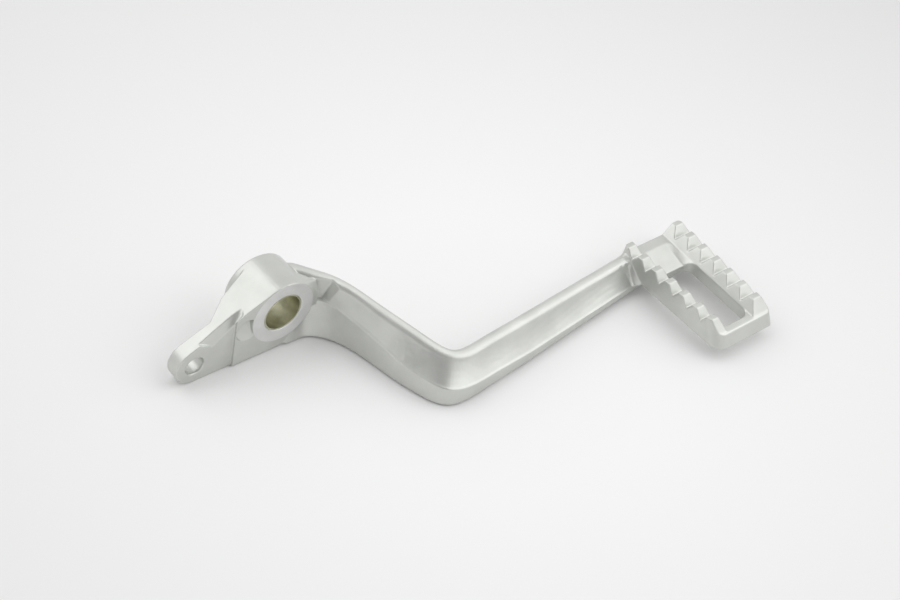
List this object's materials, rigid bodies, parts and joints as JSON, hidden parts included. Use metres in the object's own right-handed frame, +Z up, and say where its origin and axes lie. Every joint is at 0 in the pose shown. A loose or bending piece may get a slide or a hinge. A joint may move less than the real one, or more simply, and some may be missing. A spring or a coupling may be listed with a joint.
{
  "type": "rear brake pedal",
  "caption": "Cast foot lever with a bushed pivot hub, a short rod lever with an eye, a cranked ribbed arm and a toothed open toe pad.",
  "frame": {"origin": "on the pivot axis, at the middle of the hub's length", "axes": "+X forward to the toe pad, +Y inboard along the pivot axis, +Z up"},
  "size_m": [0.1774, 0.0887, 0.0249],
  "materials": {
    "silver_paint": "satin silver paint over a cast surface",
    "bush_bronze": "dull bearing bronze"
  },
  "bodies": {
    "root": {"pedal": "silver_paint", "pivot_bush": "bush_bronze"}
  },
  "joints": []
}
